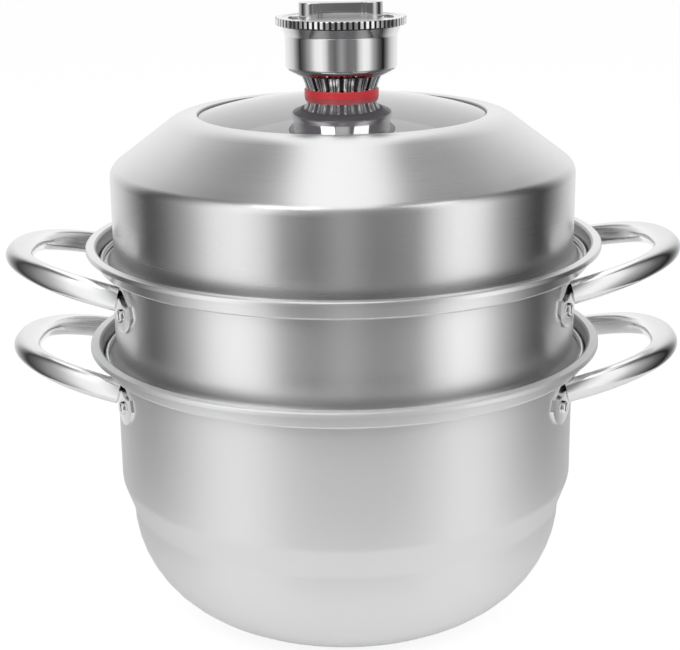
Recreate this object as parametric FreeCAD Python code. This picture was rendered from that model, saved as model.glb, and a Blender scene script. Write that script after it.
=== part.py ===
import FreeCAD, Part
import math
import os

from FreeCAD import Vector

os.makedirs("parts", exist_ok=True)

# Driving sizes, in millimetres and degrees. The round pieces share the Z axis, and the pot stands on Z = 0.

# Sheet steel and the round walls
sheet = 0.8
wall_radius = 141.7
pot_height = 177.0
tier_height = 71.7
bowl_radius = 135.2
bowl_corner = 71.0
step_top_depth = 87.0
step_height = 18.5
step_round = 14.0

# Collar, ledge and rim flange at the top of the pot and of the tier
ledge_depth = 11.0
collar_foot_radius = 149.8
collar_top_radius = 151.3
rim_radius = 157.0
rim_lip = 2.8
ledge_round = 2.0
collar_round = 1.8
rim_inner_round = 1.2
rim_outer_round = 0.4

# Hemmed foot of the tier and of the lid, which stands on a ledge
hem_clearance = 0.5
hem_width = 2.2
hem_height = 3.8
hem_round = 0.2
hem_end_gap = 0.6
foot_flat = 3.6
foot_rise = 7.0
foot_round = 2.2
foot_wall_round = 6.0

# Perforated bottom of the tier
pan_depth = 9.0
pan_radius = 139.2
pan_round = 6.0
pan_flange_round = 1.5
pan_rim_clearance = 0.9
hole_radius = 4.0
hole_pitch = 19.0
hole_margin = 14.0
holes_in_first_ring = 6

# Loose steam plate on the step inside the pot
plate_seat_share = 0.5
plate_gap = 0.3
plate_dish = 5.0
plate_rim_width = 6.0
plate_rise_run = 3.0
plate_round = 2.0

# Lid: wall, cone, crown ring and opening
lid_radius = 140.3
lid_shoulder_height = 56.5
lid_shoulder_round = 5.0
crown_radius = 97.7
crown_height = 88.4
crown_round = 22.0
opening_radius = 86.6
opening_dip = 1.0
opening_lip = 1.0
opening_round = 0.9

# Glass window, its seal and the ring under it
glass_thickness = 4.0
glass_dome_radius = 320.0
glass_overlap = 5.4
glass_drop = 0.2
seal_margin = 1.0
seal_inner_step = 0.5
clamp_lap = 8.4
clamp_sheet = 0.8

# Knob stack on the glass
stud_radius = 6.0
stud_bore = 3.0
stud_fit = 0.2
stud_head_flats = 22.0
stud_head_height = 3.5
under_washer_radius = 13.0
under_washer_thickness = 2.0
washer_radius = 22.3
washer_thickness = 4.2
washer_round = 0.7
neck_foot_radius = 21.5
neck_top_radius = 24.5
neck_height = 8.2
neck_waist = 0.5
flute_count = 16
flute_radius = 6.8
flute_depth = 0.8
nut_flats = 18.0
nut_height = 4.5

# Knob cup
cup_sheet = 1.2
cup_floor_radius = 26.0
cup_shoulder_radius = 33.4
cup_shoulder_rise = 3.9
cup_mouth_radius = 33.6
cup_flare_start = 23.4
cup_lip_radius = 35.8
cup_height = 28.8
cup_shoulder_round = 3.2
cup_floor_round = 2.4
cup_flare_round = 3.0

# Steam valve: fixed plate, turning dial, spindle and screw
valve_thickness = 1.5
valve_drop = 3.2
valve_fit = 0.3
valve_neck_clearance = 0.05
slot_mid_radius = 28.5
slot_half_width = 3.0
slot_half_angle = 22.0
dial_gap = 0.3
dial_radius = 39.0
dial_thickness = 4.4
dial_edge_round = 0.5
dial_dish_radius = 35.0
dial_dish_depth = 0.5
notch_count = 72
notch_radius = 1.1
notch_depth = 0.6
spindle_radius = 4.0
screw_radius = 2.0
screw_length = 5.5
screw_head_radius = 4.6
screw_head_height = 2.2
screw_drive_radius = 1.4
screw_drive_depth = 1.2
spring_radius = 7.0
spring_thickness = 0.6

# Grip bar on the dial
bar_length = 50.0
bar_lobe_length = 10.5
bar_lobe_half = 8.4
bar_lobe_round = 8.0
bar_web_half = 5.4
bar_step = 1.0
bar_step_count = 2
bar_height = 9.0
bar_plinth = 3.2
bar_top_round = 0.6
bar_yaw = 5.5

# Loop handles of hollow tube, from the axis outwards. Each vessel's pair is turned and lowered a little.
pot_handle_turn = -1.8
pot_handle_drop = -0.6
tier_handle_turn = 0.5
tier_handle_drop = 1.4
handle_reach = 206.0
handle_start = 128.0
handle_root_half = 60.0
handle_root_drop = 22.0
handle_rise = 14.0
handle_arch_power = 2.5
handle_end_width = 8.3
handle_end_height = 5.8
handle_arm_width = 5.2
handle_arm_height = 7.3
handle_arm_lean = 14.0
handle_wall = 1.2
handle_stations = 17
handle_end_share = 0.02
handle_flat_power = 4
tangent_step = 0.002
section_points = 16
section_power = 2.3

# Handle plates and rivets
plate_thickness = 1.7
plate_bevel = 0.7
plate_top_half = 5.0
plate_top_drop = 15.5
plate_shoulder_half = 15.5
plate_shoulder_drop = 23.0
plate_belly_half = 17.5
plate_belly_drop = 30.0
plate_foot_drop = 43.0
rivet_drop = 32.0
rivet_angle = 23.5
rivet_radius = 2.5
rivet_fit = 0.05
rivet_head_radius = 4.2
rivet_head_height = 2.2
rivet_dome_share = 0.8
rivet_inner_head_radius = 4.6
rivet_inner_head_height = 1.2

# How far a cutting tool runs past the faces that it cuts
cut_margin = 2.0

# Heights that follow from the sizes above
pot_rim = pot_height
tier_seat = pot_rim - ledge_depth
tier_rim = tier_seat + tier_height
lid_seat = tier_rim - ledge_depth
hem_radius = collar_foot_radius - sheet - hem_clearance
step_top = pot_rim - step_top_depth
step_foot = step_top - step_height

Z_AXIS = Vector(0, 0, 1)
ORIGIN = Vector(0, 0, 0)


# Outlines in the plane of the axis: a point is (radius, height)

def direction(start, end):
    length = math.hypot(end[0] - start[0], end[1] - start[1])
    return (end[0] - start[0]) / length, (end[1] - start[1]) / length


def turn_of(before, at, after):
    """Angle of the turn at a corner, positive to the left."""
    first = direction(before, at)
    second = direction(at, after)
    cross = first[0] * second[1] - first[1] * second[0]
    dot = first[0] * second[0] + first[1] * second[1]
    return math.atan2(cross, dot)


def line(start, end):
    return Part.makeLine(Vector(start[0], 0, start[1]), Vector(end[0], 0, end[1]))


def arc(start, middle, end):
    points = [Vector(p[0], 0, p[1]) for p in (start, middle, end)]
    return Part.Arc(*points).toShape()


def rounded_path(points, radii):
    """Lines through the points, with each inner corner rounded by its radius."""
    edges = []
    start = points[0]
    for before, at, after, radius in zip(points, points[1:], points[2:], radii):
        turn = abs(turn_of(before, at, after))
        if radius <= 0 or turn < 1e-6:
            edges.append(line(start, at))
            start = at
            continue
        inward = direction(before, at)
        outward = direction(at, after)
        reach = radius * math.tan(turn / 2)
        bow = radius / math.cos(turn / 2) - radius
        across = direction((0, 0), (outward[0] - inward[0], outward[1] - inward[1]))
        arc_start = (at[0] - inward[0] * reach, at[1] - inward[1] * reach)
        arc_end = (at[0] + outward[0] * reach, at[1] + outward[1] * reach)
        edges.append(line(start, arc_start))
        edges.append(arc(arc_start, (at[0] + across[0] * bow, at[1] + across[1] * bow), arc_end))
        start = arc_end
    edges.append(line(start, points[-1]))
    return edges


def shifted_path(points, radii, gap):
    """The same path moved to its left by the gap, with radii to match."""
    moved = []
    moved_radii = []
    first = direction(points[0], points[1])
    moved.append((points[0][0] - first[1] * gap, points[0][1] + first[0] * gap))
    for before, at, after, radius in zip(points, points[1:], points[2:], radii):
        inward = direction(before, at)
        outward = direction(at, after)
        share = gap / (1 + inward[0] * outward[0] + inward[1] * outward[1])
        shift = (-(inward[1] + outward[1]) * share, (inward[0] + outward[0]) * share)
        moved.append((at[0] + shift[0], at[1] + shift[1]))
        moved_radii.append(radius - math.copysign(gap, turn_of(before, at, after)))
    last = direction(points[-2], points[-1])
    moved.append((points[-1][0] - last[1] * gap, points[-1][1] + last[0] * gap))
    return moved, moved_radii


def turned(edges):
    """Solid of revolution about Z from the closed outline of these edges."""
    face = Part.Face(Part.Wire(Part.__sortEdges__(edges)))
    return face.revolve(ORIGIN, Z_AXIS, 360)


def turned_sheet(points, radii, thickness):
    """Sheet whose outer face follows the points and whose other face is to their left."""
    other, other_radii = shifted_path(points, radii, thickness)
    edges = rounded_path(points, radii) + rounded_path(other, other_radii)
    edges.append(line(points[0], other[0]))
    edges.append(line(points[-1], other[-1]))
    return turned(edges)


def turned_block(points, radii=()):
    """Solid of revolution from a closed outline. The first corner stays sharp."""
    corner_radii = list(radii) + [0] * (len(points) - 1 - len(radii))
    return turned(rounded_path(list(points) + [points[0]], corner_radii))


def tube(inner, outer, bottom, top):
    return turned_block([(inner, bottom), (outer, bottom), (outer, top), (inner, top)])


def spin(shape, angle):
    copy = shape.copy()
    copy.rotate(ORIGIN, Z_AXIS, angle)
    return copy


def joined(shapes):
    return Part.makeCompound(list(shapes))


def save(shape, node):
    shape.exportStep("parts/" + node + ".step")


# Pot, tier and lid shells

def collar(seat, rim):
    """Outer points and radii from the wall's top over the ledge and collar to the rim's lip."""
    points = [
        (wall_radius, seat - sheet),
        (collar_foot_radius, seat - sheet),
        (collar_top_radius, rim - sheet),
        (rim_radius - sheet, rim - sheet),
        (rim_radius - sheet, rim - rim_lip),
    ]
    return points, [ledge_round, collar_round, rim_inner_round, rim_outer_round]


def hemmed_foot(seat, radius):
    """Outer points and radii from the hem's hidden edge over the foot to the start of a wall."""
    inner = hem_radius - hem_width + sheet
    outer = hem_radius - sheet
    top = seat + hem_height - sheet
    points = [
        (inner, seat + sheet + hem_end_gap),
        (inner, top),
        (outer, top),
        (outer, seat + sheet),
        (radius + foot_flat, seat + sheet),
        (radius, seat + foot_rise),
    ]
    return points, [hem_round, hem_round, hem_round, foot_round, foot_wall_round]


def rivet_places(shape, turn, height):
    """Four copies at the rivet places of a vessel's two handles, turned and raised together."""
    copies = []
    for angle in (rivet_angle, -rivet_angle, 180 - rivet_angle, 180 + rivet_angle):
        copy = spin(shape, angle + turn)
        copy.translate(Vector(0, 0, height))
        copies.append(copy)
    return joined(copies)


def rivet_hole():
    start = Vector(0, 0, -rivet_drop)
    return Part.makeCylinder(rivet_radius + rivet_fit, rim_radius, start, Vector(1, 0, 0))


def hole_pattern(reach, bottom):
    """Rings of round holes at even pitch, as tools to cut a flat sheet."""
    start = Vector(0, 0, bottom - cut_margin)
    height = sheet + 2 * cut_margin
    tools = [Part.makeCylinder(hole_radius, height, start)]
    for ring in range(1, int(reach / hole_pitch) + 1):
        count = holes_in_first_ring * ring
        for index in range(count):
            angle = 2 * math.pi * index / count
            across = Vector(math.cos(angle), math.sin(angle), 0) * (ring * hole_pitch)
            tools.append(Part.makeCylinder(hole_radius, height, start + across))
    return joined(tools)


def make_pot_shell():
    top_points, top_radii = collar(pot_rim - ledge_depth, pot_rim)
    points = [(0, 0), (bowl_radius, 0), (bowl_radius, step_foot), (wall_radius, step_top)] + top_points
    radii = [bowl_corner, step_round, step_round] + top_radii
    holes = rivet_places(rivet_hole(), pot_handle_turn, pot_rim - pot_handle_drop)
    return turned_sheet(points, radii, sheet).cut(holes)


def make_steam_plate():
    slope = math.atan2(wall_radius - bowl_radius, step_height)
    seat = step_foot + plate_seat_share * step_height
    wall_there = bowl_radius + plate_seat_share * (wall_radius - bowl_radius) - sheet / math.cos(slope)
    edge = wall_there - plate_gap / math.cos(slope)
    floor = seat - plate_dish
    points = [
        (0, floor),
        (edge - plate_rim_width - plate_rise_run, floor),
        (edge - plate_rim_width, seat),
        (edge, seat),
    ]
    plate = turned_sheet(points, [plate_round, plate_round], sheet)
    return plate.cut(hole_pattern(edge - plate_rim_width - hole_margin, floor))


def make_tier_shell():
    foot_points, foot_radii = hemmed_foot(tier_seat + sheet, wall_radius)
    top_points, top_radii = collar(tier_rim - ledge_depth, tier_rim)
    shell = turned_sheet(foot_points + top_points, foot_radii + top_radii, sheet)
    return shell.cut(rivet_places(rivet_hole(), tier_handle_turn, tier_rim - tier_handle_drop))


def make_tier_bottom():
    floor = tier_seat - pan_depth
    edge = hem_radius - pan_rim_clearance
    points = [(0, floor), (pan_radius, floor), (pan_radius, tier_seat), (edge, tier_seat)]
    pan = turned_sheet(points, [pan_round, pan_flange_round], sheet)
    return pan.cut(hole_pattern(pan_radius - hole_margin, floor))


def make_lid_shell():
    foot_points, foot_radii = hemmed_foot(lid_seat, lid_radius)
    crown = lid_seat + crown_height
    points = foot_points + [
        (lid_radius, lid_seat + lid_shoulder_height),
        (crown_radius, crown),
        (opening_radius, crown - opening_dip),
        (opening_radius, crown - opening_dip - opening_lip),
    ]
    return turned_sheet(points, foot_radii + [lid_shoulder_round, crown_round, opening_round], sheet)


# Glass window

glass_edge_radius = opening_radius + glass_overlap
opening_top = lid_seat + crown_height - opening_dip
glass_centre = opening_top - opening_lip - glass_drop
glass_centre += glass_dome_radius - math.sqrt(glass_dome_radius ** 2 - opening_radius ** 2)


def dome_height(radius, depth=0.0):
    """Height of the glass at a radius, on its top face or that depth below it."""
    bend = glass_dome_radius - depth
    return glass_centre - glass_dome_radius + math.sqrt(bend ** 2 - radius ** 2)


def make_lid_window():
    hole = stud_radius + stud_fit
    middle = (hole + glass_edge_radius) / 2
    thick = glass_thickness
    corners = [(r, dome_height(r)) for r in (hole, glass_edge_radius)]
    corners += [(r, dome_height(r, thick)) for r in (glass_edge_radius, hole)]
    edges = [
        arc(corners[0], (middle, dome_height(middle)), corners[1]),
        line(corners[1], corners[2]),
        arc(corners[2], (middle, dome_height(middle, thick)), corners[3]),
        line(corners[3], corners[0]),
    ]
    return turned(edges)


seal_bottom = dome_height(glass_edge_radius, glass_thickness) - seal_margin
seal_top = opening_top - opening_lip
seal_outer_radius = glass_edge_radius + seal_margin


def make_window_seal(window):
    inner = opening_radius - seal_inner_step
    block = tube(inner, seal_outer_radius, seal_bottom, seal_top)
    return block.cut(window)


def make_window_clamp():
    """Ring under the seal, with a wall that reaches up to the underside of the crown."""
    wall = seal_outer_radius
    points = [(wall + clamp_sheet, seal_top), (wall + clamp_sheet, seal_bottom - clamp_sheet)]
    points.append((wall - clamp_lap, seal_bottom - clamp_sheet))
    other = [(wall - clamp_lap, seal_bottom), (wall, seal_bottom), (wall, seal_top)]
    return turned_block(points + other, [clamp_sheet])


# Knob, from the washer under the glass to the cup

washer_top = dome_height(washer_radius) + washer_thickness
neck_top = washer_top + neck_height
cup_top = neck_top + cup_height
under_washer_top = dome_height(under_washer_radius, glass_thickness)
under_washer_bottom = under_washer_top - under_washer_thickness


def make_knob_washer():
    low = dome_height(washer_radius) - washer_thickness
    hole = stud_radius + stud_fit
    outline = [(hole, low), (washer_radius, low), (washer_radius, washer_top), (hole, washer_top)]
    block = turned_block(outline, [0, washer_round])
    above_glass = Part.makeSphere(glass_dome_radius, Vector(0, 0, glass_centre - glass_dome_radius))
    return block.cut(above_glass)


def make_under_washer():
    return tube(stud_radius + stud_fit, under_washer_radius, under_washer_bottom, under_washer_top)


def hexagon(flats, bottom, height):
    corner = flats / math.sqrt(3)
    angles = [math.radians(60 * k) for k in range(7)]
    points = [Vector(corner * math.cos(angle), corner * math.sin(angle), bottom) for angle in angles]
    return Part.Face(Part.makePolygon(points)).extrude(Vector(0, 0, height))


def make_vent_stud():
    head = hexagon(stud_head_flats, under_washer_bottom - stud_head_height, stud_head_height)
    top = neck_top + cup_sheet + nut_height
    shank = Part.makeCylinder(stud_radius, top - under_washer_bottom, Vector(0, 0, under_washer_bottom))
    bore = Part.makeCylinder(stud_bore, top, Vector(0, 0, under_washer_bottom - stud_head_height))
    return head.fuse(shank).cut(bore).removeSplitter()


def make_stud_nut():
    bottom = neck_top + cup_sheet
    hole = Part.makeCylinder(stud_radius + valve_neck_clearance, nut_height, Vector(0, 0, bottom))
    return hexagon(nut_flats, bottom, nut_height).cut(hole)


def make_knob_neck():
    """Waisted collar with flutes that lean with its side."""
    hole = stud_radius + stud_fit
    middle = ((neck_foot_radius + neck_top_radius) / 2 - neck_waist, (washer_top + neck_top) / 2)
    edges = [
        line((hole, washer_top), (neck_foot_radius, washer_top)),
        arc((neck_foot_radius, washer_top), middle, (neck_top_radius, neck_top)),
        line((neck_top_radius, neck_top), (hole, neck_top)),
        line((hole, neck_top), (hole, washer_top)),
    ]
    body = turned(edges)
    lean = math.atan2(neck_top_radius - neck_foot_radius, neck_height)
    axis = Vector(math.sin(lean), 0, math.cos(lean))
    offset = flute_radius - flute_depth
    start = Vector(neck_foot_radius + offset / math.cos(lean), 0, washer_top) - axis * cut_margin
    flute = Part.makeCylinder(flute_radius, neck_height / math.cos(lean) + 2 * cut_margin, start, axis)
    return body.cut(joined(spin(flute, 360.0 * k / flute_count) for k in range(flute_count)))


def make_knob_cup():
    points = [
        (stud_radius + stud_fit, neck_top),
        (cup_floor_radius, neck_top),
        (cup_shoulder_radius, neck_top + cup_shoulder_rise),
        (cup_mouth_radius, neck_top + cup_flare_start),
        (cup_lip_radius, cup_top),
    ]
    return turned_sheet(points, [cup_floor_round, cup_shoulder_round, cup_flare_round], cup_sheet)


# Steam valve

valve_top = cup_top - valve_drop
flare_run = cup_lip_radius - cup_mouth_radius
flare_rise = cup_height - cup_flare_start
flare_length = math.hypot(flare_run, flare_rise)
dial_bottom = cup_top + cup_sheet * flare_run / flare_length + dial_gap
dial_top = dial_bottom + dial_thickness
spindle_bottom = valve_top - valve_thickness - spring_thickness


def slot_tool(bottom, top):
    """Two curved slots opposite each other on X, as a tool that cuts from bottom to top."""
    start = Vector(0, 0, bottom - cut_margin)
    height = top - bottom + 2 * cut_margin
    inner = Part.makeCylinder(slot_mid_radius - slot_half_width, height, start)
    outer_radius = slot_mid_radius + slot_half_width
    outer = Part.makeCylinder(outer_radius, height, start, Z_AXIS, 2 * slot_half_angle)
    slot = spin(outer, -slot_half_angle).cut(inner)
    return joined([slot, spin(slot, 180)])


def cup_inner_radius(height):
    """Radius of the cup's flared mouth inside, at a height."""
    share = (height - neck_top - cup_flare_start) / flare_rise
    return cup_mouth_radius + flare_run * share - cup_sheet * flare_length / flare_rise


def make_valve_plate():
    edge = cup_inner_radius(valve_top - valve_thickness) - valve_fit
    plate = tube(spindle_radius + valve_neck_clearance, edge, valve_top - valve_thickness, valve_top)
    return plate.cut(slot_tool(valve_top - valve_thickness, valve_top))


def make_steam_dial():
    """Knurled disc with its spindle, vent slots and a shallow dish round the grip bar."""
    outline = [
        (0, spindle_bottom),
        (spindle_radius, spindle_bottom),
        (spindle_radius, dial_bottom),
        (dial_radius, dial_bottom),
        (dial_radius, dial_top),
        (dial_dish_radius, dial_top),
        (dial_dish_radius - dial_dish_depth, dial_top - dial_dish_depth),
        (0, dial_top - dial_dish_depth),
    ]
    disc = turned_block(outline, [0, 0, dial_edge_round, dial_edge_round])
    notch_start = Vector(dial_radius + notch_radius - notch_depth, 0, dial_bottom - cut_margin)
    notch = Part.makeCylinder(notch_radius, dial_thickness + 2 * cut_margin, notch_start)
    notches = joined(spin(notch, 360.0 * k / notch_count) for k in range(notch_count))
    hole_depth = screw_length + valve_neck_clearance
    screw_hole = Part.makeCylinder(screw_radius, hole_depth, Vector(0, 0, spindle_bottom))
    slots = slot_tool(dial_bottom, dial_top)
    return spin(disc.cut(notches).cut(slots).cut(screw_hole), bar_yaw)


def bar_outline(web_half):
    """Outline of the grip bar in the plane of Z = 0: rounded ends that step down to a narrower web."""
    half = bar_length / 2
    lobe_start = half - bar_lobe_length
    fall = (bar_lobe_half - web_half) / bar_step_count
    quarter = [(half, 0), (half, bar_lobe_half)]
    for step in range(bar_step_count):
        start = lobe_start - 2 * step * bar_step
        quarter.append((start, bar_lobe_half - step * fall))
        quarter.append((start - bar_step, bar_lobe_half - (step + 1) * fall))
    mirrored = [(-x, y) for x, y in reversed(quarter)]
    upper = quarter + mirrored[:-1]
    lower = [(-x, -y) for x, y in upper[1:]]
    points = upper + [(-half, 0)] + lower
    radii = [bar_lobe_round if abs(x) == half and y else 0 for x, y in points[1:]]
    wire = Part.Wire(Part.__sortEdges__(rounded_path(points + [points[0]], radii)))
    wire.rotate(ORIGIN, Vector(1, 0, 0), -90)
    return wire


def make_grip_bar():
    """Grip bar: a low plinth and a bar with thick rounded ends and a recessed web."""
    bar = Part.Face(bar_outline(bar_web_half)).extrude(Vector(0, 0, bar_height))
    top_edges = [edge for edge in bar.Edges if edge.BoundBox.ZMin > bar_height / 2]
    bar = bar.makeFillet(bar_top_round, top_edges)
    plinth = Part.Face(bar_outline((bar_web_half + bar_lobe_half) / 2)).extrude(Vector(0, 0, bar_plinth))
    bar = bar.fuse(plinth).removeSplitter()
    bar.translate(Vector(0, 0, dial_top - dial_dish_depth))
    return spin(bar, bar_yaw)


def make_dial_spring():
    top = valve_top - valve_thickness
    return tube(spindle_radius + valve_neck_clearance, spring_radius, top - spring_thickness, top)


def make_dial_screw():
    head_top = spindle_bottom
    outline = [
        (0, head_top - screw_head_height),
        (screw_head_radius, head_top - screw_head_height),
        (screw_head_radius, head_top),
        (screw_radius - valve_neck_clearance, head_top),
        (screw_radius - valve_neck_clearance, head_top + screw_length),
        (0, head_top + screw_length),
    ]
    screw = turned_block(outline, [screw_drive_depth / 2])
    drive = hexagon(2 * screw_drive_radius, head_top - screw_head_height, screw_drive_depth)
    return screw.cut(drive)


# Loop handles

def arch_point(share):
    """Centre of the tube at a share from 0 at one root to 1 at the other, before the rise is added."""
    angle = math.pi * (1 - 2 * share) / 2
    run = handle_reach - handle_end_width - handle_start
    out = handle_start + run * math.cos(angle)
    spread = abs(math.sin(angle)) ** (2 / handle_arch_power)
    side = handle_root_half * math.copysign(spread, math.sin(angle))
    climb = math.tan(math.radians(handle_rise)) * (out - handle_start)
    return Vector(out, side, climb - handle_root_drop)


def tube_section(share, inset):
    """Closed oval round the tube's centre line, upright in the arms and lying flat at the end."""
    centre = arch_point(share)
    ahead = arch_point(share + tangent_step) - arch_point(share - tangent_step)
    ahead.normalize()
    level = Vector(ahead.y, -ahead.x, 0)
    level.normalize()
    upright = level.cross(ahead)
    upright.normalize()
    if upright.z < 0:
        upright = upright * -1
    flatness = math.sin(math.pi * share) ** handle_flat_power
    side_lean = math.copysign(1, centre.y) * (1 - flatness) * math.radians(handle_arm_lean)
    width = handle_arm_width + (handle_end_width - handle_arm_width) * flatness - inset
    height = handle_arm_height + (handle_end_height - handle_arm_height) * flatness - inset
    points = []
    for index in range(section_points):
        angle = 2 * math.pi * index / section_points
        x = width * math.copysign(abs(math.cos(angle)) ** (2 / section_power), math.cos(angle))
        y = height * math.copysign(abs(math.sin(angle)) ** (2 / section_power), math.sin(angle))
        turned_x = x * math.cos(side_lean) + y * math.sin(side_lean)
        turned_y = y * math.cos(side_lean) - x * math.sin(side_lean)
        points.append(centre + level * turned_x + upright * turned_y)
    curve = Part.BSplineCurve()
    curve.interpolate(points, PeriodicFlag=True)
    return Part.Wire(curve.toShape())


def make_handle():
    """Hollow loop handle on the +X side under a rim at Z = 0, trimmed to the outer face of its plates."""
    middle_share = 1 - 2 * handle_end_share
    shares = [handle_end_share + middle_share * k / (handle_stations - 1) for k in range(handle_stations)]
    outside = Part.makeLoft([tube_section(share, 0) for share in shares], True, False)
    inside = Part.makeLoft([tube_section(share, handle_wall) for share in shares], True, False)
    core = Part.makeCylinder(wall_radius + plate_thickness, 2 * tier_height, Vector(0, 0, -tier_height))
    return outside.cut(inside).cut(core)


def plate_outline(shrink, distance):
    """Shield outline of a handle plate in the plane at a distance along X, drawn in by the shrink."""
    half_points = [
        (plate_top_half, -plate_top_drop - shrink),
        (plate_shoulder_half - shrink, -plate_shoulder_drop - shrink / 2),
        (plate_belly_half - shrink, -plate_belly_drop),
    ]
    right = [Vector(distance, y, z) for y, z in half_points]
    left = [Vector(distance, -y, z) for y, z in half_points]
    foot = Vector(distance, 0, -plate_foot_drop + shrink)
    edges = [
        Part.makeLine(left[0], right[0]),
        Part.makeLine(right[0], right[1]),
        Part.makeLine(right[1], right[2]),
        Part.Arc(right[2], foot, left[2]).toShape(),
        Part.makeLine(left[2], left[1]),
        Part.makeLine(left[1], left[0]),
    ]
    return Part.Wire(Part.__sortEdges__(edges))


def make_handle_plate():
    """Curved shield plate on the +X side of the wall, with bevelled edges and its rivet hole."""
    outer = wall_radius + plate_thickness
    inner_plane = wall_radius * math.cos(math.asin(plate_belly_half / wall_radius)) - plate_thickness
    slug = Part.makeLoft([plate_outline(0, inner_plane), plate_outline(plate_bevel, outer)], True, True)
    ring = tube(wall_radius, outer, -plate_foot_drop - cut_margin, cut_margin)
    return slug.common(ring).cut(rivet_hole())


def make_rivet():
    """Rivet along X: low head inside the wall, domed head outside the plate."""
    outer = wall_radius + plate_thickness
    inner = math.sqrt((wall_radius - sheet) ** 2 - rivet_inner_head_radius ** 2)
    outline = [
        (0, inner - rivet_inner_head_height),
        (rivet_inner_head_radius, inner - rivet_inner_head_height),
        (rivet_inner_head_radius, inner),
        (rivet_radius, inner),
        (rivet_radius, outer),
        (rivet_head_radius, outer),
        (rivet_head_radius, outer + rivet_head_height),
        (0, outer + rivet_head_height),
    ]
    dome_round = rivet_head_height * rivet_dome_share
    rivet = turned_block(outline, [rivet_inner_head_height / 2, 0, 0, 0, 0, dome_round])
    rivet.rotate(ORIGIN, Vector(0, 1, 0), 90)
    rivet.translate(Vector(0, 0, -rivet_drop))
    return rivet


save(make_pot_shell(), "pot_shell")
save(make_steam_plate(), "steam_plate")
save(make_tier_shell(), "tier_shell")
save(make_tier_bottom(), "tier_bottom")
save(make_lid_shell(), "lid_shell")

for name, turn, height in (
    ("pot", pot_handle_turn, pot_rim - pot_handle_drop),
    ("tier", tier_handle_turn, tier_rim - tier_handle_drop),
):
    handle = make_handle()
    handle.translate(Vector(0, 0, height))
    save(spin(handle, turn), name + "_handle_right")
    save(spin(handle, turn + 180), name + "_handle_left")
    save(rivet_places(make_handle_plate(), turn, height), name + "_handle_plates")
    save(rivet_places(make_rivet(), turn, height), name + "_rivets")

lid_window = make_lid_window()
save(lid_window, "lid_window")
save(make_window_seal(lid_window), "window_seal")
save(make_window_clamp(), "window_clamp")
save(make_knob_washer(), "knob_washer")
save(make_under_washer(), "under_washer")
save(make_vent_stud(), "vent_stud")
save(make_stud_nut(), "stud_nut")
save(make_knob_neck(), "knob_neck")
save(make_knob_cup(), "knob_cup")
save(make_valve_plate(), "valve_plate")
save(make_steam_dial(), "steam_dial")
save(make_grip_bar(), "grip_bar")
save(make_dial_spring(), "dial_spring")
save(make_dial_screw(), "dial_screw")
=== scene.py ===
import math

import bmesh
import bpy
from mathutils import Matrix, Vector


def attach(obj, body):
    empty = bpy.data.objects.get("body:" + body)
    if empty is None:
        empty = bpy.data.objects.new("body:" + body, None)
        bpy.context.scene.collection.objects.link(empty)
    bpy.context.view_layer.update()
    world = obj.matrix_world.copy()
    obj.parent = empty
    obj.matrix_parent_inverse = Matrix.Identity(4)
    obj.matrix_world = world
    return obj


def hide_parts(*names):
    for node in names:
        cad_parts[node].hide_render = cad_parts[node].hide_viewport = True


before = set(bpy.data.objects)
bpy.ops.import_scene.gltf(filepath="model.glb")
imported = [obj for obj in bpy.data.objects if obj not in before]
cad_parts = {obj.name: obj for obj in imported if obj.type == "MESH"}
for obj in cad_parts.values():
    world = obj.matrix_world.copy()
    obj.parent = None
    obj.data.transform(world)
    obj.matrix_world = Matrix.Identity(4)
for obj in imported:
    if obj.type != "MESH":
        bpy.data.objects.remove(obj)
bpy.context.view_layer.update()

# Sizes in millimetres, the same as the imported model's
MM = 0.001
SHEET = 0.8
WALL_RADIUS = 141.7
POT_RIM = 177.0
TIER_SEAT = 166.0
TIER_RIM = 237.7
LID_SEAT = 226.7
LEDGE_DEPTH = 11.0
BOWL_RADIUS = 135.2
BOWL_CORNER = 71.0
STEP_TOP = 90.0
STEP_FOOT = 71.5
STEP_ROUND = 14.0
COLLAR_FOOT_RADIUS = 149.8
COLLAR_TOP_RADIUS = 151.3
RIM_RADIUS = 157.0
RIM_LIP = 2.8
HEM_RADIUS = 148.5
HEM_WIDTH = 2.2
HEM_HEIGHT = 3.8
LID_RADIUS = 140.3
LID_SHOULDER = 56.5
CROWN_RADIUS = 97.7
CROWN_HEIGHT = 88.4
OPENING_RADIUS = 86.6
OPENING_DIP = 1.0
OPENING_LIP = 1.0
PLATE_THICKNESS = 1.7

# Glass window and knob
GLASS_DOME = 320.0
GLASS_THICKNESS = 4.0
GLASS_EDGE = 92.0
GLASS_DROP = 0.2
STUD_HOLE = 6.2
WASHER_RADIUS = 22.3
WASHER_THICKNESS = 4.2
NECK_HEIGHT = 8.2
CUP_SHEET = 1.2
CUP_FLOOR_RADIUS = 26.0
CUP_SHOULDER_RADIUS = 33.4
CUP_SHOULDER_RISE = 3.9
CUP_MOUTH_RADIUS = 33.6
CUP_FLARE_START = 23.4
CUP_LIP_RADIUS = 35.8
CUP_HEIGHT = 28.8
FLUTE_COUNT = 16
DIAL_TOP_RADIUS = 38.2
DIAL_EDGE_BAND = 0.8

# Loop handles
HANDLE_REACH = 206.0
HANDLE_START = 128.0
HANDLE_ROOT_HALF = 60.0
HANDLE_ROOT_DROP = 22.0
HANDLE_RISE = math.radians(14.0)
HANDLE_ARCH_POWER = 2.5
HANDLE_END_SIZE = (8.3, 5.8)
HANDLE_ARM_SIZE = (5.2, 7.3)
HANDLE_ARM_LEAN = math.radians(14.0)
HANDLE_END_SHARE = 0.02
HANDLE_FLAT_POWER = 4
HANDLE_SECTION_POWER = 2.3
POT_HANDLE_TURN = math.radians(-1.8)
POT_HANDLE_DROP = -0.6
TIER_HANDLE_TURN = math.radians(0.5)
TIER_HANDLE_DROP = 1.4

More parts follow.
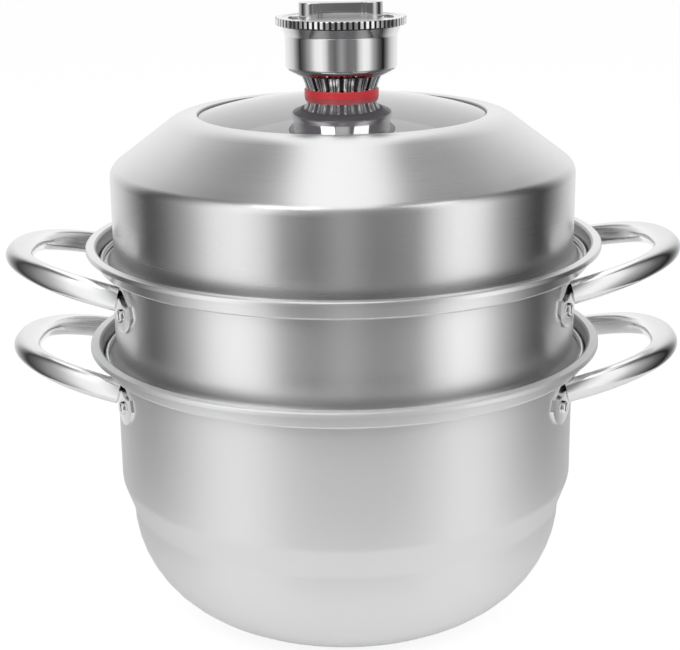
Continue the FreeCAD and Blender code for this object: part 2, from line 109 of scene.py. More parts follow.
# The photograph's camera
FRAME_WIDTH = 680
FOCAL_PIXELS = 1552.2
SENSOR_WIDTH = 36.0
CAMERA_SIDE = -2.63
CAMERA_DISTANCE = 932.8
CAMERA_HEIGHT = 451.45
CAMERA_PITCH = 0.28306
CAMERA_ROLL = -0.01161


# Outlines: a point is (radius, height) in millimetres

def direction(start, end):
    length = math.hypot(end[0] - start[0], end[1] - start[1])
    return (end[0] - start[0]) / length, (end[1] - start[1]) / length


def turn_of(before, at, after):
    first = direction(before, at)
    second = direction(at, after)
    cross = first[0] * second[1] - first[1] * second[0]
    return math.atan2(cross, first[0] * second[0] + first[1] * second[1])


def rounded_points(points, radii, step=math.radians(7)):
    """Points along a path whose inner corners are rounded."""
    out = [points[0]]
    for before, at, after, radius in zip(points, points[1:], points[2:], radii):
        turn = turn_of(before, at, after)
        if radius <= 0 or abs(turn) < 1e-6:
            out.append(at)
            continue
        inward = direction(before, at)
        reach = radius * math.tan(abs(turn) / 2)
        start = (at[0] - inward[0] * reach, at[1] - inward[1] * reach)
        side = math.copysign(1, turn)
        centre = (start[0] - inward[1] * radius * side, start[1] + inward[0] * radius * side)
        first = math.atan2(start[1] - centre[1], start[0] - centre[0])
        count = max(3, math.ceil(abs(turn) / step))
        for k in range(count + 1):
            angle = first + turn * k / count
            out.append((centre[0] + radius * math.cos(angle), centre[1] + radius * math.sin(angle)))
    out.append(points[-1])
    return out


def shifted(points, radii, gap):
    """The same path moved to its left by the gap, with radii to match."""
    first = direction(points[0], points[1])
    moved = [(points[0][0] - first[1] * gap, points[0][1] + first[0] * gap)]
    moved_radii = []
    for before, at, after, radius in zip(points, points[1:], points[2:], radii):
        inward = direction(before, at)
        outward = direction(at, after)
        share = gap / (1 + inward[0] * outward[0] + inward[1] * outward[1])
        moved.append((at[0] - (inward[1] + outward[1]) * share, at[1] + (inward[0] + outward[0]) * share))
        moved_radii.append(radius - math.copysign(gap, turn_of(before, at, after)))
    last = direction(points[-2], points[-1])
    moved.append((points[-1][0] - last[1] * gap, points[-1][1] + last[0] * gap))
    return moved, moved_radii


def sheet_outline(points, radii, thickness):
    other, other_radii = shifted(points, radii, thickness)
    return rounded_points(points, radii) + list(reversed(rounded_points(other, other_radii)))


def split_long(outline, longest=12.0):
    """The closed outline with long straight runs divided, so that shading stays even."""
    out = []
    for start, end in zip(outline, outline[1:] + outline[:1]):
        length = math.hypot(end[0] - start[0], end[1] - start[1])
        count = max(1, math.ceil(length / longest))
        run, rise = (end[0] - start[0]) / count, (end[1] - start[1]) / count
        out += [(start[0] + run * k, start[1] + rise * k) for k in range(count)]
    return out


# Meshes

def finish_mesh(name, bm, sharp_angle=32.0):
    bmesh.ops.remove_doubles(bm, verts=bm.verts, dist=1e-7)
    bmesh.ops.recalc_face_normals(bm, faces=bm.faces)
    mesh = bpy.data.meshes.new(name)
    bm.to_mesh(mesh)
    bm.free()
    mesh.polygons.foreach_set("use_smooth", [True] * len(mesh.polygons))
    mesh.set_sharp_from_angle(angle=math.radians(sharp_angle))
    piece = bpy.data.objects.new(name, mesh)
    bpy.context.scene.collection.objects.link(piece)
    return piece


def lathe(name, outline, segments):
    """Ring solid of revolution about Z from a closed outline."""
    outline = split_long(outline)
    bm = bmesh.new()
    rings = []
    for radius, height in outline:
        if radius < 1e-6:
            rings.append([bm.verts.new((0, 0, height * MM))] * segments)
            continue
        ring = []
        for k in range(segments):
            angle = 2 * math.pi * k / segments
            place = (radius * math.cos(angle) * MM, radius * math.sin(angle) * MM, height * MM)
            ring.append(bm.verts.new(place))
        rings.append(ring)
    for ring, after in zip(rings, rings[1:] + rings[:1]):
        for k in range(segments):
            corners = [ring[k], ring[(k + 1) % segments], after[(k + 1) % segments], after[k]]
            distinct = list(dict.fromkeys(corners))
            if len(distinct) >= 3:
                bm.faces.new(distinct)
    return finish_mesh(name, bm)


def stand_in(piece, body, material, slot, *nodes):
    """Sets the piece's material and body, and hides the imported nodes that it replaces."""
    piece.data.materials.clear()
    piece.data.materials.append(material)
    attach(piece, body)
    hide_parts(*nodes)
    return piece


# Materials

# Radius below which a turned texture no longer follows the angle, in metres
SMALLEST_RADIUS = 1e-4
# Brushing round the axis: lines per metre of profile, depth of the grain and of the broad variation
BRUSH_LINES = 1500.0
BRUSH_GRAIN = 0.07
BRUSH_BLOTCH = 0.02
# Painted reflection on the neck: tones from a ridge of the neck to the middle of a flute
FLUTE_PAINTED_REFLECTION = [(0.0, 0.95), (0.05, 0.05), (0.13, 0.08), (0.2, 0.95), (0.74, 0.97), (0.84, 0.1), (1.0, 0.05)]


def new_material(name):
    material = bpy.data.materials.new(name)
    material.use_nodes = True
    tree = material.node_tree
    shader = tree.nodes["Principled BSDF"]
    return material, tree, shader


def math_node(tree, operation, *inputs):
    node = tree.nodes.new("ShaderNodeMath")
    node.operation = operation
    for socket, value in zip(node.inputs, inputs):
        if isinstance(value, (int, float)):
            socket.default_value = value
        else:
            tree.links.new(value, socket)
    return node.outputs[0]


def object_place(tree):
    """The object's own coordinates, whole and split in X, Y and Z."""
    coordinate = tree.nodes.new("ShaderNodeTexCoord")
    split = tree.nodes.new("ShaderNodeSeparateXYZ")
    tree.links.new(coordinate.outputs["Object"], split.inputs[0])
    return coordinate, split.outputs


def axis_distance(tree, x, y):
    """Distance from the Z axis."""
    squares = [math_node(tree, "MULTIPLY", value, value) for value in (x, y)]
    return math_node(tree, "SQRT", math_node(tree, "ADD", *squares))


def round_coordinates(tree, around, along, outward):
    """Texture coordinates that follow the turning round Z: angle, and height with radius.

    The run along a profile grows outwards where outward is 1, as on a bowl, and inwards where
    it is -1, as on a cone.
    """
    coordinate, (x, y, z) = object_place(tree)
    radius = axis_distance(tree, x, y)
    safe_radius = math_node(tree, "MAXIMUM", radius, SMALLEST_RADIUS)
    unit_x = math_node(tree, "DIVIDE", x, safe_radius)
    unit_y = math_node(tree, "DIVIDE", y, safe_radius)
    up = math_node(tree, "MULTIPLY", z, along)
    run = math_node(tree, "ADD", up, math_node(tree, "MULTIPLY", radius, along * outward))
    join = tree.nodes.new("ShaderNodeCombineXYZ")
    tree.links.new(math_node(tree, "MULTIPLY", unit_x, around), join.inputs[0])
    tree.links.new(math_node(tree, "MULTIPLY", unit_y, around), join.inputs[1])
    tree.links.new(run, join.inputs[2])
    return join.outputs[0]


def noise(tree, vector, scale, detail=3.0, roughness=0.6):
    node = tree.nodes.new("ShaderNodeTexNoise")
    node.inputs["Scale"].default_value = scale
    node.inputs["Detail"].default_value = detail
    node.inputs["Roughness"].default_value = roughness
    tree.links.new(vector, node.inputs["Vector"])
    return node.outputs[0]


def ramp(tree, factor, stops):
    node = tree.nodes.new("ShaderNodeValToRGB")
    tree.links.new(factor, node.inputs[0])
    elements = node.color_ramp.elements
    while len(elements) < len(stops):
        elements.new(0.5)
    for element, (place, value) in zip(elements, stops):
        element.position = place
        colour = value if isinstance(value, tuple) else (value, value, value)
        element.color = (*colour, 1.0)
    return node.outputs[0]


def span(tree, value, low, high):
    node = tree.nodes.new("ShaderNodeMapRange")
    tree.links.new(value, node.inputs[0])
    node.inputs["To Min"].default_value = low
    node.inputs["To Max"].default_value = high
    return node.outputs[0]


def bump(tree, shader, height, strength, distance):
    node = tree.nodes.new("ShaderNodeBump")
    node.inputs["Strength"].default_value = strength
    node.inputs["Distance"].default_value = distance
    tree.links.new(height, node.inputs["Height"])
    tree.links.new(node.outputs[0], shader.inputs["Normal"])


def painted_inner_shade(tree):
    """Painted shade: a darker tone for the faces that look towards the axis."""
    coordinate, (x, y, z) = object_place(tree)
    facing = tree.nodes.new("ShaderNodeSeparateXYZ")
    tree.links.new(coordinate.outputs["Normal"], facing.inputs[0])
    radius = axis_distance(tree, x, y)
    along_x = math_node(tree, "MULTIPLY", x, facing.outputs[0])
    along_y = math_node(tree, "MULTIPLY", y, facing.outputs[1])
    along = math_node(tree, "ADD", along_x, along_y)
    outward = math_node(tree, "DIVIDE", along, math_node(tree, "MAXIMUM", radius, SMALLEST_RADIUS))
    # Painted shade: faces turned towards the axis get a darker colour
    return ramp(tree, math_node(tree, "MULTIPLY_ADD", outward, 0.5, 0.5), [(0.3, 0.42), (0.46, 1.0)])


def fluted_steel(name):
    """Polished steel of the fluted neck, with painted reflection: dark lines down the middle and along the
    edges of every flute.
    """
    material, tree, shader = new_material(name)
    coordinate, (x, y, z) = object_place(tree)
    angle = math_node(tree, "ARCTAN2", y, x)
    wave = math_node(tree, "COSINE", math_node(tree, "MULTIPLY", angle, FLUTE_COUNT))
    share = math_node(tree, "MULTIPLY_ADD", wave, 0.5, 0.5)
    # Painted reflection: dark and bright bands across every flute, set by angle
    tree.links.new(ramp(tree, share, FLUTE_PAINTED_REFLECTION), shader.inputs["Base Color"])
    fine = noise(tree, coordinate.outputs["Object"], 400.0, 3.0, 0.6)
    tree.links.new(span(tree, fine, 0.16, 0.24), shader.inputs["Roughness"])
    shader.inputs["Metallic"].default_value = 1.0
    bump(tree, shader, fine, 0.02, 0.00002)
    return material


def knurled_steel(name, shade):
    """Steel of the dial: satin on top, with polished crests along the knurled edge, a ring of painted shade
    at the grooves and a painted highlight on the crests.
    """
    material, tree, shader = new_material(name)
    coordinate, (x, y, z) = object_place(tree)
    past_top = math_node(tree, "SUBTRACT", axis_distance(tree, x, y), DIAL_TOP_RADIUS * MM)
    near_edge = math_node(tree, "DIVIDE", past_top, DIAL_EDGE_BAND * MM)
    # Painted shade for the knurl's grooves and painted highlight on its crests, both set by radius
    dark = (0.03, 0.03, 0.032)
    painted_crest_highlight = (0.95, 0.95, 0.95)
    stops = [(0.0, shade), (0.10, shade), (0.16, dark), (0.45, dark), (0.75, shade), (1.0, painted_crest_highlight)]
    tree.links.new(ramp(tree, near_edge, stops), shader.inputs["Base Color"])
    fine = noise(tree, coordinate.outputs["Object"], 700.0, 3.0, 0.6)
    satin = span(tree, fine, 0.32, 0.42)
    polish = ramp(tree, near_edge, [(0.05, 1.0), (0.15, 0.3)])
    tree.links.new(math_node(tree, "MULTIPLY", satin, polish), shader.inputs["Roughness"])
    shader.inputs["Metallic"].default_value = 1.0
    bump(tree, shader, fine, 0.08, 0.00003)
    return material


def cup_steel(name, shade):
    """Polished steel of the cup, with painted shade on the underside of its floor."""
    material, tree, shader = new_material(name)
    coordinate = tree.nodes.new("ShaderNodeTexCoord")
    facing = tree.nodes.new("ShaderNodeSeparateXYZ")
    tree.links.new(coordinate.outputs["Normal"], facing.inputs[0])
    upward = math_node(tree, "MULTIPLY_ADD", facing.outputs[2], 0.5, 0.5)
    # Painted shade: faces that look downwards are darkened in colour
    tree.links.new(ramp(tree, upward, [(0.04, 0.05), (0.12, shade)]), shader.inputs["Base Color"])
    fine = noise(tree, coordinate.outputs["Object"], 260.0, 4.0, 0.6)
    tree.links.new(span(tree, fine, 0.05, 0.09), shader.inputs["Roughness"])
    shader.inputs["Metallic"].default_value = 1.0
    bump(tree, shader, fine, 0.02, 0.00002)
    return material


def brushed_steel(name, shade, rough_low, rough_high, anisotropic, outward):
    """Steel brushed round the axis: fine lines in colour, roughness and relief, faint broad variation, and
    painted shade on the faces that look towards the axis.
    """
    material, tree, shader = new_material(name)
    vector = round_coordinates(tree, 1.1, BRUSH_LINES, outward)
    line_noise = noise(tree, vector, 1.6, 4.0, 0.65)
    coordinate = tree.nodes.new("ShaderNodeTexCoord")
    broad_noise = noise(tree, coordinate.outputs["Object"], 14.0, 2.0, 0.5)
    low = tuple(c * (1 - BRUSH_BLOTCH) for c in shade)
    mix = tree.nodes.new("ShaderNodeMix")
    mix.data_type = "RGBA"
    line_part = math_node(tree, "MULTIPLY", line_noise, 0.6)
    broad_part = math_node(tree, "MULTIPLY", broad_noise, 0.4)
    tree.links.new(math_node(tree, "ADD", line_part, broad_part), mix.inputs[0])
    mix.inputs[6].default_value = (*low, 1)
    mix.inputs[7].default_value = (*shade, 1)
    # Painted shade: the faces that look towards the axis are darkened in colour
    with_painted_shade = tree.nodes.new("ShaderNodeMix")
    with_painted_shade.data_type = "RGBA"
    with_painted_shade.blend_type = "MULTIPLY"
    with_painted_shade.inputs[0].default_value = 1.0
    tree.links.new(mix.outputs[2], with_painted_shade.inputs[6])
    tree.links.new(painted_inner_shade(tree), with_painted_shade.inputs[7])
    tree.links.new(with_painted_shade.outputs[2], shader.inputs["Base Color"])
    tree.links.new(span(tree, line_noise, rough_low, rough_high), shader.inputs["Roughness"])
    shader.inputs["Metallic"].default_value = 1.0
    shader.inputs["Anisotropic"].default_value = anisotropic
    shader.inputs["Anisotropic Rotation"].default_value = 0.25
    tangent = tree.nodes.new("ShaderNodeTangent")
    tangent.direction_type = "RADIAL"
    tangent.axis = "Z"
    tree.links.new(tangent.outputs[0], shader.inputs["Tangent"])
    bump(tree, shader, line_noise, BRUSH_GRAIN, 0.00002)
    return material


def satin_steel(name, shade, rough_low, rough_high):
    """Steel with a fine even grain, as a blasted or matt-polished surface."""
    material, tree, shader = new_material(name)
    coordinate = tree.nodes.new("ShaderNodeTexCoord")
    fine = noise(tree, coordinate.outputs["Object"], 900.0, 3.0, 0.6)
    broad = noise(tree, coordinate.outputs["Object"], 18.0, 2.0, 0.5)
    worn = tuple(c * 0.97 for c in shade)
    tree.links.new(ramp(tree, broad, [(0.3, worn), (0.7, shade)]), shader.inputs["Base Color"])
    tree.links.new(span(tree, fine, rough_low, rough_high), shader.inputs["Roughness"])
    shader.inputs["Metallic"].default_value = 1.0
    bump(tree, shader, fine, 0.2, 0.00003)
    return material


def polished_steel(name, shade, rough):
    """Polished steel: nearly a mirror, with faint buffing marks."""
    material, tree, shader = new_material(name)
    coordinate = tree.nodes.new("ShaderNodeTexCoord")
    fine = noise(tree, coordinate.outputs["Object"], 260.0, 4.0, 0.6)
    broad = noise(tree, coordinate.outputs["Object"], 25.0, 2.0, 0.5)
    worn = tuple(c * 0.97 for c in shade)
    tree.links.new(ramp(tree, broad, [(0.35, worn), (0.65, shade)]), shader.inputs["Base Color"])
    tree.links.new(span(tree, fine, rough * 0.7, rough * 1.3), shader.inputs["Roughness"])
    shader.inputs["Metallic"].default_value = 1.0
    bump(tree, shader, fine, 0.02, 0.00002)
    return material


def silicone(name, colour, dark):
    material, tree, shader = new_material(name)
    coordinate = tree.nodes.new("ShaderNodeTexCoord")
    fine = noise(tree, coordinate.outputs["Object"], 600.0, 3.0, 0.6)
    broad = noise(tree, coordinate.outputs["Object"], 60.0, 2.0, 0.5)
    tree.links.new(ramp(tree, broad, [(0.3, dark), (0.7, colour)]), shader.inputs["Base Color"])
    tree.links.new(span(tree, fine, 0.32, 0.48), shader.inputs["Roughness"])
    shader.inputs["Subsurface Weight"].default_value = 0.08
    shader.inputs["Subsurface Radius"].default_value = (0.002, 0.0006, 0.0005)
    bump(tree, shader, fine, 0.15, 0.00005)
    return material


def window_glass(name):
    """Tinted glass: part of the light passes, part is held by the tint, and the faces mirror at a slant."""
    material, tree, shader = new_material(name)
    coordinate = tree.nodes.new("ShaderNodeTexCoord")
    broad = noise(tree, coordinate.outputs["Object"], 20.0, 2.0, 0.5)
    tint = ramp(tree, broad, [(0.3, (0.150, 0.140, 0.155)), (0.7, (0.165, 0.155, 0.170))])
    tree.links.new(tint, shader.inputs["Base Color"])
    tree.links.new(span(tree, broad, 0.0, 0.012), shader.inputs["Roughness"])
    shader.inputs["Transmission Weight"].default_value = 0.3
    shader.inputs["IOR"].default_value = 1.9
    shader.inputs["Coat Weight"].default_value = 0.9
    shader.inputs["Coat IOR"].default_value = 1.75
    shader.inputs["Coat Roughness"].default_value = 0.004
    bump(tree, shader, broad, 0.01, 0.00002)
    return material


POT_STEEL = brushed_steel("pot_steel", (0.88, 0.88, 0.885), 0.53, 0.57, 0.3, 1)
TIER_STEEL = brushed_steel("tier_steel", (0.89, 0.89, 0.895), 0.32, 0.36, 0.7, -1)
LID_STEEL = brushed_steel("lid_steel", (0.82, 0.82, 0.825), 0.26, 0.30, 0.7, -1)
HANDLE_STEEL = polished_steel("handle_steel", (0.93, 0.93, 0.935), 0.16)
# Painted shade: a darker copy of the polished steel, standing in for the dark surroundings that the bar
# mirrors
BAR_STEEL_PAINTED_DARK = polished_steel("bar_steel", (0.58, 0.58, 0.59), 0.08)
CUP_STEEL = cup_steel("cup_steel", 0.86)
DIAL_STEEL = knurled_steel("dial_steel", (0.88, 0.88, 0.885))
NECK_STEEL = fluted_steel("neck_steel")
INNER_STEEL = satin_steel("inner_steel", (0.62, 0.62, 0.63), 0.3, 0.45)
GLASS = window_glass("lid_glass")
RED_SILICONE = silicone("red_silicone", (0.78, 0.045, 0.055), (0.66, 0.03, 0.04))
DARK_SILICONE = silicone("dark_silicone", (0.035, 0.035, 0.04), (0.02, 0.02, 0.022))


# Shells

def collar(seat, rim):
    points = [
        (WALL_RADIUS, seat - SHEET),
        (COLLAR_FOOT_RADIUS, seat - SHEET),
        (COLLAR_TOP_RADIUS, rim - SHEET),
        (RIM_RADIUS - SHEET, rim - SHEET),
        (RIM_RADIUS - SHEET, rim - RIM_LIP),
    ]
    return points, [2.0, 1.8, 1.2, 0.4]


def hemmed_foot(seat, radius):
    inner = HEM_RADIUS - HEM_WIDTH + SHEET
    outer = HEM_RADIUS - SHEET
    top = seat + HEM_HEIGHT - SHEET
    points = [
        (inner, seat + SHEET + 0.6),
        (inner, top),
        (outer, top),
        (outer, seat + SHEET),
        (radius + 3.6, seat + SHEET),
        (radius, seat + 7.0),
    ]
    return points, [0.2, 0.2, 0.2, 2.2, 6.0]


def pot_outline():
    top, top_radii = collar(POT_RIM - LEDGE_DEPTH, POT_RIM)
    points = [(0.0, 0.0), (BOWL_RADIUS, 0.0), (BOWL_RADIUS, STEP_FOOT), (WALL_RADIUS, STEP_TOP)] + top
    return sheet_outline(points, [BOWL_CORNER, STEP_ROUND, STEP_ROUND] + top_radii, SHEET)


def tier_outline():
    foot, foot_radii = hemmed_foot(TIER_SEAT + SHEET, WALL_RADIUS)
    top, top_radii = collar(TIER_RIM - LEDGE_DEPTH, TIER_RIM)
    return sheet_outline(foot + top, foot_radii + top_radii, SHEET)


def lid_outline():
    foot, foot_radii = hemmed_foot(LID_SEAT, LID_RADIUS)
    crown = LID_SEAT + CROWN_HEIGHT
    points = foot + [
        (LID_RADIUS, LID_SEAT + LID_SHOULDER),
        (CROWN_RADIUS, crown),
        (OPENING_RADIUS, crown - OPENING_DIP),
        (OPENING_RADIUS, crown - OPENING_DIP - OPENING_LIP),
    ]
    return sheet_outline(points, foot_radii + [8.5, 22.0, 0.9], SHEET)


stand_in(lathe("pot_shell_skin", pot_outline(), 300), "pot", POT_STEEL, "pot_steel", "pot_shell")
stand_in(lathe("tier_shell_skin", tier_outline(), 300), "tier", TIER_STEEL, "tier_steel", "tier_shell")
stand_in(lathe("lid_shell_skin", lid_outline(), 300), "lid", LID_STEEL, "lid_steel", "lid_shell")


# Glass and knob

GLASS_CENTRE = LID_SEAT + CROWN_HEIGHT - OPENING_DIP - OPENING_LIP - GLASS_DROP
GLASS_CENTRE += GLASS_DOME - math.sqrt(GLASS_DOME ** 2 - OPENING_RADIUS ** 2)


def dome_height(radius, depth=0.0):
    return GLASS_CENTRE - GLASS_DOME + math.sqrt((GLASS_DOME - depth) ** 2 - radius ** 2)


WASHER_TOP = dome_height(WASHER_RADIUS) + WASHER_THICKNESS
NECK_TOP = WASHER_TOP + NECK_HEIGHT


def glass_outline():
    radii = [STUD_HOLE + (GLASS_EDGE - STUD_HOLE) * k / 24 for k in range(25)]
    top = [(r, dome_height(r)) for r in radii]
    return top + [(r, dome_height(r, GLASS_THICKNESS)) for r in reversed(radii)]


def washer_outline():
    radii = [STUD_HOLE + (WASHER_RADIUS - STUD_HOLE) * k / 6 for k in range(7)]
    low = [(r, dome_height(r)) for r in radii]
    top = rounded_points([low[-1], (WASHER_RADIUS, WASHER_TOP), (STUD_HOLE, WASHER_TOP)], [0.7])
    return low + top[1:]


def cup_outline():
    points = [
        (STUD_HOLE, NECK_TOP),
        (CUP_FLOOR_RADIUS, NECK_TOP),
        (CUP_SHOULDER_RADIUS, NECK_TOP + CUP_SHOULDER_RISE),
        (CUP_MOUTH_RADIUS, NECK_TOP + CUP_FLARE_START),
        (CUP_LIP_RADIUS, NECK_TOP + CUP_HEIGHT),
    ]
    return sheet_outline(points, [2.4, 3.2, 3.0], CUP_SHEET)


stand_in(lathe("window_glass", glass_outline(), 200), "lid", GLASS, "glass", "lid_window")
stand_in(lathe("red_washer", washer_outline(), 160), "lid", RED_SILICONE, "red_silicone", "knob_washer")
stand_in(lathe("cup_skin", cup_outline(), 200), "lid", CUP_STEEL, "polished_steel", "knob_cup")


# Loop handles

def signed_power(value, power):
    return math.copysign(abs(value) ** power, value)


def arch_point(share):
    """Centre of the tube at a share from 0 at one root to 1 at the other, under a rim at Z = 0."""
    angle = math.pi * (1 - 2 * share) / 2
    run = HANDLE_REACH - HANDLE_END_SIZE[0] - HANDLE_START
    out = HANDLE_START + run * math.cos(angle)
    side = HANDLE_ROOT_HALF * signed_power(math.sin(angle), 2 / HANDLE_ARCH_POWER)
    return Vector((out, side, math.tan(HANDLE_RISE) * (out - HANDLE_START) - HANDLE_ROOT_DROP))


def tube_ring(share, count):
    """Points of the oval section, upright in the arms and flat at the end, kept outside the plates."""
    centre = arch_point(share)
    ahead = (arch_point(share + 0.002) - arch_point(share - 0.002)).normalized()
    level = Vector((ahead.y, -ahead.x, 0)).normalized()
    upright = level.cross(ahead).normalized()
    if upright.z < 0:
        upright = -upright
    flatness = math.sin(math.pi * share) ** HANDLE_FLAT_POWER
    lean = math.copysign(1, centre.y) * (1 - flatness) * HANDLE_ARM_LEAN
    size = [arm + (end - arm) * flatness for arm, end in zip(HANDLE_ARM_SIZE, HANDLE_END_SIZE)]
    points = []
    for index in range(count):
        angle = 2 * math.pi * index / count
        x = size[0] * signed_power(math.cos(angle), 2 / HANDLE_SECTION_POWER)
        y = size[1] * signed_power(math.sin(angle), 2 / HANDLE_SECTION_POWER)
        point = centre + level * (x * math.cos(lean) + y * math.sin(lean))
        point += upright * (y * math.cos(lean) - x * math.sin(lean))
        wall = WALL_RADIUS + PLATE_THICKNESS
        radius = math.hypot(point.x, point.y)
        if radius < wall:
            point.x *= wall / radius
            point.y *= wall / radius
        points.append(point)
    return points


def make_handle(name, turn, height, body, node, stations=120, count=40):
    bm = bmesh.new()
    rotate = Matrix.Rotation(turn, 4, "Z")
    rings = []
    for k in range(stations + 1):
        share = HANDLE_END_SHARE + (1 - 2 * HANDLE_END_SHARE) * k / stations
        places = [rotate @ (point + Vector((0, 0, height))) * MM for point in tube_ring(share, count)]
        rings.append([bm.verts.new(place) for place in places])
    for ring, after in zip(rings, rings[1:]):
        for k in range(count):
            bm.faces.new([ring[k], ring[(k + 1) % count], after[(k + 1) % count], after[k]])
    bm.faces.new(rings[0])
    bm.faces.new(rings[-1])
    stand_in(finish_mesh(name, bm, 60), body, HANDLE_STEEL, "polished_steel", node)


for body, turn, height in (
    ("pot", POT_HANDLE_TURN, POT_RIM - POT_HANDLE_DROP),
    ("tier", TIER_HANDLE_TURN, TIER_RIM - TIER_HANDLE_DROP),
):
    make_handle(body + "_loop_right", turn, height, body, body + "_handle_right")
    make_handle(body + "_loop_left", turn + math.pi, height, body, body + "_handle_left")


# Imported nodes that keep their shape

NODE_FINISH = [
    (HANDLE_STEEL, ("pot_handle_plates", "tier_handle_plates", "pot_rivets", "tier_rivets")),
    (INNER_STEEL, ("steam_plate", "tier_bottom", "window_clamp", "vent_stud", "stud_nut")),
    (INNER_STEEL, ("valve_plate", "dial_spring", "dial_screw")),
    (DARK_SILICONE, ("window_seal", "under_washer")),
    (NECK_STEEL, ("knob_neck",)),
    (DIAL_STEEL, ("steam_dial",)),
    (BAR_STEEL_PAINTED_DARK, ("grip_bar",)),
]
for finish, node_names in NODE_FINISH:
    for node_name in node_names:
        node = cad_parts[node_name]
        node.data.materials.clear()
        node.data.materials.append(finish)


# Floor, reflection tent, lights and camera

def stage_piece(name, vertices, faces):
    mesh = bpy.data.meshes.new(name)
    mesh.from_pydata(vertices, [], faces)
    piece = bpy.data.objects.new(name, mesh)
    bpy.context.scene.collection.objects.link(piece)
    return piece


def make_floor():
    """White floor that the camera sees as white, with the object's soft shadow."""
    reach = 8.0
    corners = [(-reach, -reach, 0), (reach, -reach, 0), (reach, reach, 0), (-reach, reach, 0)]
    floor = stage_piece("floor", corners, [(0, 1, 2, 3)])
    material, tree, shader = new_material("floor_white")
    shader.inputs["Base Color"].default_value = (0.8, 0.8, 0.8, 1)
    shader.inputs["Roughness"].default_value = 0.9
    glow = tree.nodes.new("ShaderNodeEmission")
    glow.inputs["Color"].default_value = (1, 1, 1, 1)
    glow.inputs["Strength"].default_value = 1.15
    path = tree.nodes.new("ShaderNodeLightPath")
    mix = tree.nodes.new("ShaderNodeMixShader")
    tree.links.new(math_node(tree, "MULTIPLY", path.outputs["Is Camera Ray"], 0.75), mix.inputs[0])
    tree.links.new(shader.outputs[0], mix.inputs[1])
    tree.links.new(glow.outputs[0], mix.inputs[2])
    tree.links.new(mix.outputs[0], tree.nodes["Material Output"].inputs["Surface"])
    floor.data.materials.append(material)
    return floor


TENT_RADIUS = 0.36
TENT_HEIGHT = 0.55
# Brightness of the tent by angle from the front, to the left and to the right
TENT_LEFT = [
    (12, 0.14), (23, 0.25), (30, 0.72), (40, 1.0), (52, 0.92), (64, 0.42), (78, 0.14), (90, 0.03),
    (99, 0.25), (113, 0.66), (132, 0.88), (180, 1.0),
]
TENT_RIGHT = [
    (12, 0.18), (28, 0.22), (36, 0.72), (45, 1.0), (55, 0.92), (65, 0.42), (78, 0.12), (91, 0.0),
    (101, 0.2), (115, 0.62), (132, 0.85), (180, 1.0),
]
TENT_FRONT = 0.36


def make_tent():
    """Soft striped tent round the object, which only reflections see."""
    count = 128
    vertices = []
    for height in (0.001, TENT_HEIGHT):
        for k in range(count):
            angle = 2 * math.pi * k / count
            vertices.append((TENT_RADIUS * math.sin(angle), -TENT_RADIUS * math.cos(angle), height))
    faces = [(k, (k + 1) % count, count + (k + 1) % count, count + k) for k in range(count)]
    tent = stage_piece("reflection_tent", vertices, faces)
    material = bpy.data.materials.new("tent_bands")
    material.use_nodes = True
    tree = material.node_tree
    tree.nodes.remove(tree.nodes["Principled BSDF"])
    coordinate = tree.nodes.new("ShaderNodeTexCoord")
    split = tree.nodes.new("ShaderNodeSeparateXYZ")
    tree.links.new(coordinate.outputs["Object"], split.inputs[0])
    front = math_node(tree, "MULTIPLY", split.outputs[1], -1.0)
    angle = math_node(tree, "ARCTAN2", split.outputs[0], front)
    share = math_node(tree, "MULTIPLY_ADD", angle, 0.5 / math.pi, 0.5)
    glow = tree.nodes.new("ShaderNodeEmission")
    stops = [(0.5 - angle / 360, value) for angle, value in reversed(TENT_LEFT)]
    stops += [(0.5, TENT_FRONT)] + [(0.5 + angle / 360, value) for angle, value in TENT_RIGHT]
    tree.links.new(ramp(tree, share, stops), glow.inputs["Color"])
    tree.links.new(glow.outputs[0], tree.nodes["Material Output"].inputs["Surface"])
    tent.data.materials.append(material)
    tent.visible_camera = False
    tent.visible_diffuse = False
    tent.visible_shadow = False
    tent.visible_transmission = False
    return tent


# Brightness of the sky in reflections: a strip overhead by sideways slant, and the rest from front to back
SKY_STRIP = [(0.0, 1.15), (0.18, 1.1), (0.29, 0.14), (1.0, 0.08)]
SKY_DEPTH = [(0.0, 0.05), (0.55, 0.10), (0.66, 0.28), (0.75, 0.58), (0.85, 0.78), (0.93, 0.9), (1.0, 0.9)]


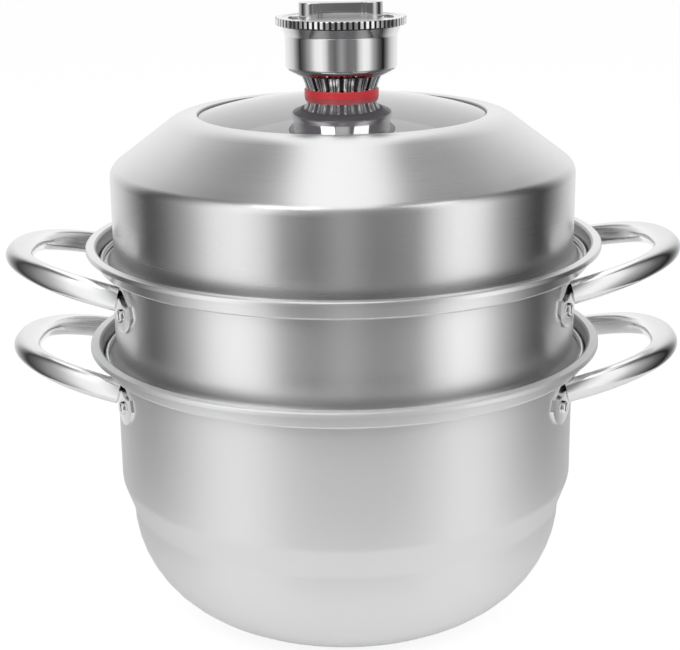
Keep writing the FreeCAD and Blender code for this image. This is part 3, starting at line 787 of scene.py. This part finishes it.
def make_world():
    world = bpy.data.worlds.new("studio")
    bpy.context.scene.world = world
    world.use_nodes = True
    tree = world.node_tree
    plain = tree.nodes["Background"]
    plain.inputs["Color"].default_value = (1, 1, 1, 1)
    plain.inputs["Strength"].default_value = 0.62
    seen = tree.nodes.new("ShaderNodeBackground")
    seen.inputs["Color"].default_value = (1, 1, 1, 1)
    mirrored = tree.nodes.new("ShaderNodeBackground")
    coordinate = tree.nodes.new("ShaderNodeTexCoord")
    split = tree.nodes.new("ShaderNodeSeparateXYZ")
    tree.links.new(coordinate.outputs["Generated"], split.inputs[0])
    strip = ramp(tree, math_node(tree, "ABSOLUTE", split.outputs[0]), SKY_STRIP)
    depth = ramp(tree, math_node(tree, "MULTIPLY_ADD", split.outputs[1], 0.5, 0.5), SKY_DEPTH)
    tree.links.new(math_node(tree, "MAXIMUM", strip, depth), mirrored.inputs["Strength"])
    mirrored.inputs["Color"].default_value = (1, 1, 1, 1)
    path = tree.nodes.new("ShaderNodeLightPath")
    first = tree.nodes.new("ShaderNodeMixShader")
    second = tree.nodes.new("ShaderNodeMixShader")
    tree.links.new(path.outputs["Is Glossy Ray"], first.inputs[0])
    tree.links.new(plain.outputs[0], first.inputs[1])
    tree.links.new(mirrored.outputs[0], first.inputs[2])
    tree.links.new(path.outputs["Is Camera Ray"], second.inputs[0])
    tree.links.new(first.outputs[0], second.inputs[1])
    tree.links.new(seen.outputs[0], second.inputs[2])
    tree.links.new(second.outputs[0], tree.nodes["World Output"].inputs["Surface"])


def area_light(name, place, size, power):
    light = bpy.data.lights.new(name, "AREA")
    light.shape = "RECTANGLE"
    light.size = size[0]
    light.size_y = size[1]
    light.energy = power
    lamp = bpy.data.objects.new(name, light)
    lamp.location = place
    lamp.rotation_euler = (Vector((0, 0, 0.18)) - Vector(place)).to_track_quat("-Z", "Y").to_euler()
    bpy.context.scene.collection.objects.link(lamp)
    return lamp


def make_camera():
    camera = bpy.data.cameras.new("photo_camera")
    camera.sensor_fit = "HORIZONTAL"
    camera.sensor_width = SENSOR_WIDTH
    camera.lens = FOCAL_PIXELS / FRAME_WIDTH * SENSOR_WIDTH
    camera.clip_start = 0.05
    seat = bpy.data.objects.new("photo_camera", camera)
    place = Matrix.Translation(Vector((CAMERA_SIDE, -CAMERA_DISTANCE, CAMERA_HEIGHT)) * MM)
    tilt = Matrix.Rotation(math.pi / 2 - CAMERA_PITCH, 4, "X")
    seat.matrix_world = place @ tilt @ Matrix.Rotation(CAMERA_ROLL, 4, "Z")
    bpy.context.scene.collection.objects.link(seat)
    bpy.context.scene.camera = seat


make_floor()
make_tent()
make_world()
area_light("key", (-0.9, -1.3, 1.6), (1.0, 1.0), 14)
area_light("fill", (1.1, -1.0, 1.3), (1.0, 1.0), 10)
make_camera()
bpy.context.scene.view_settings.view_transform = "Standard"
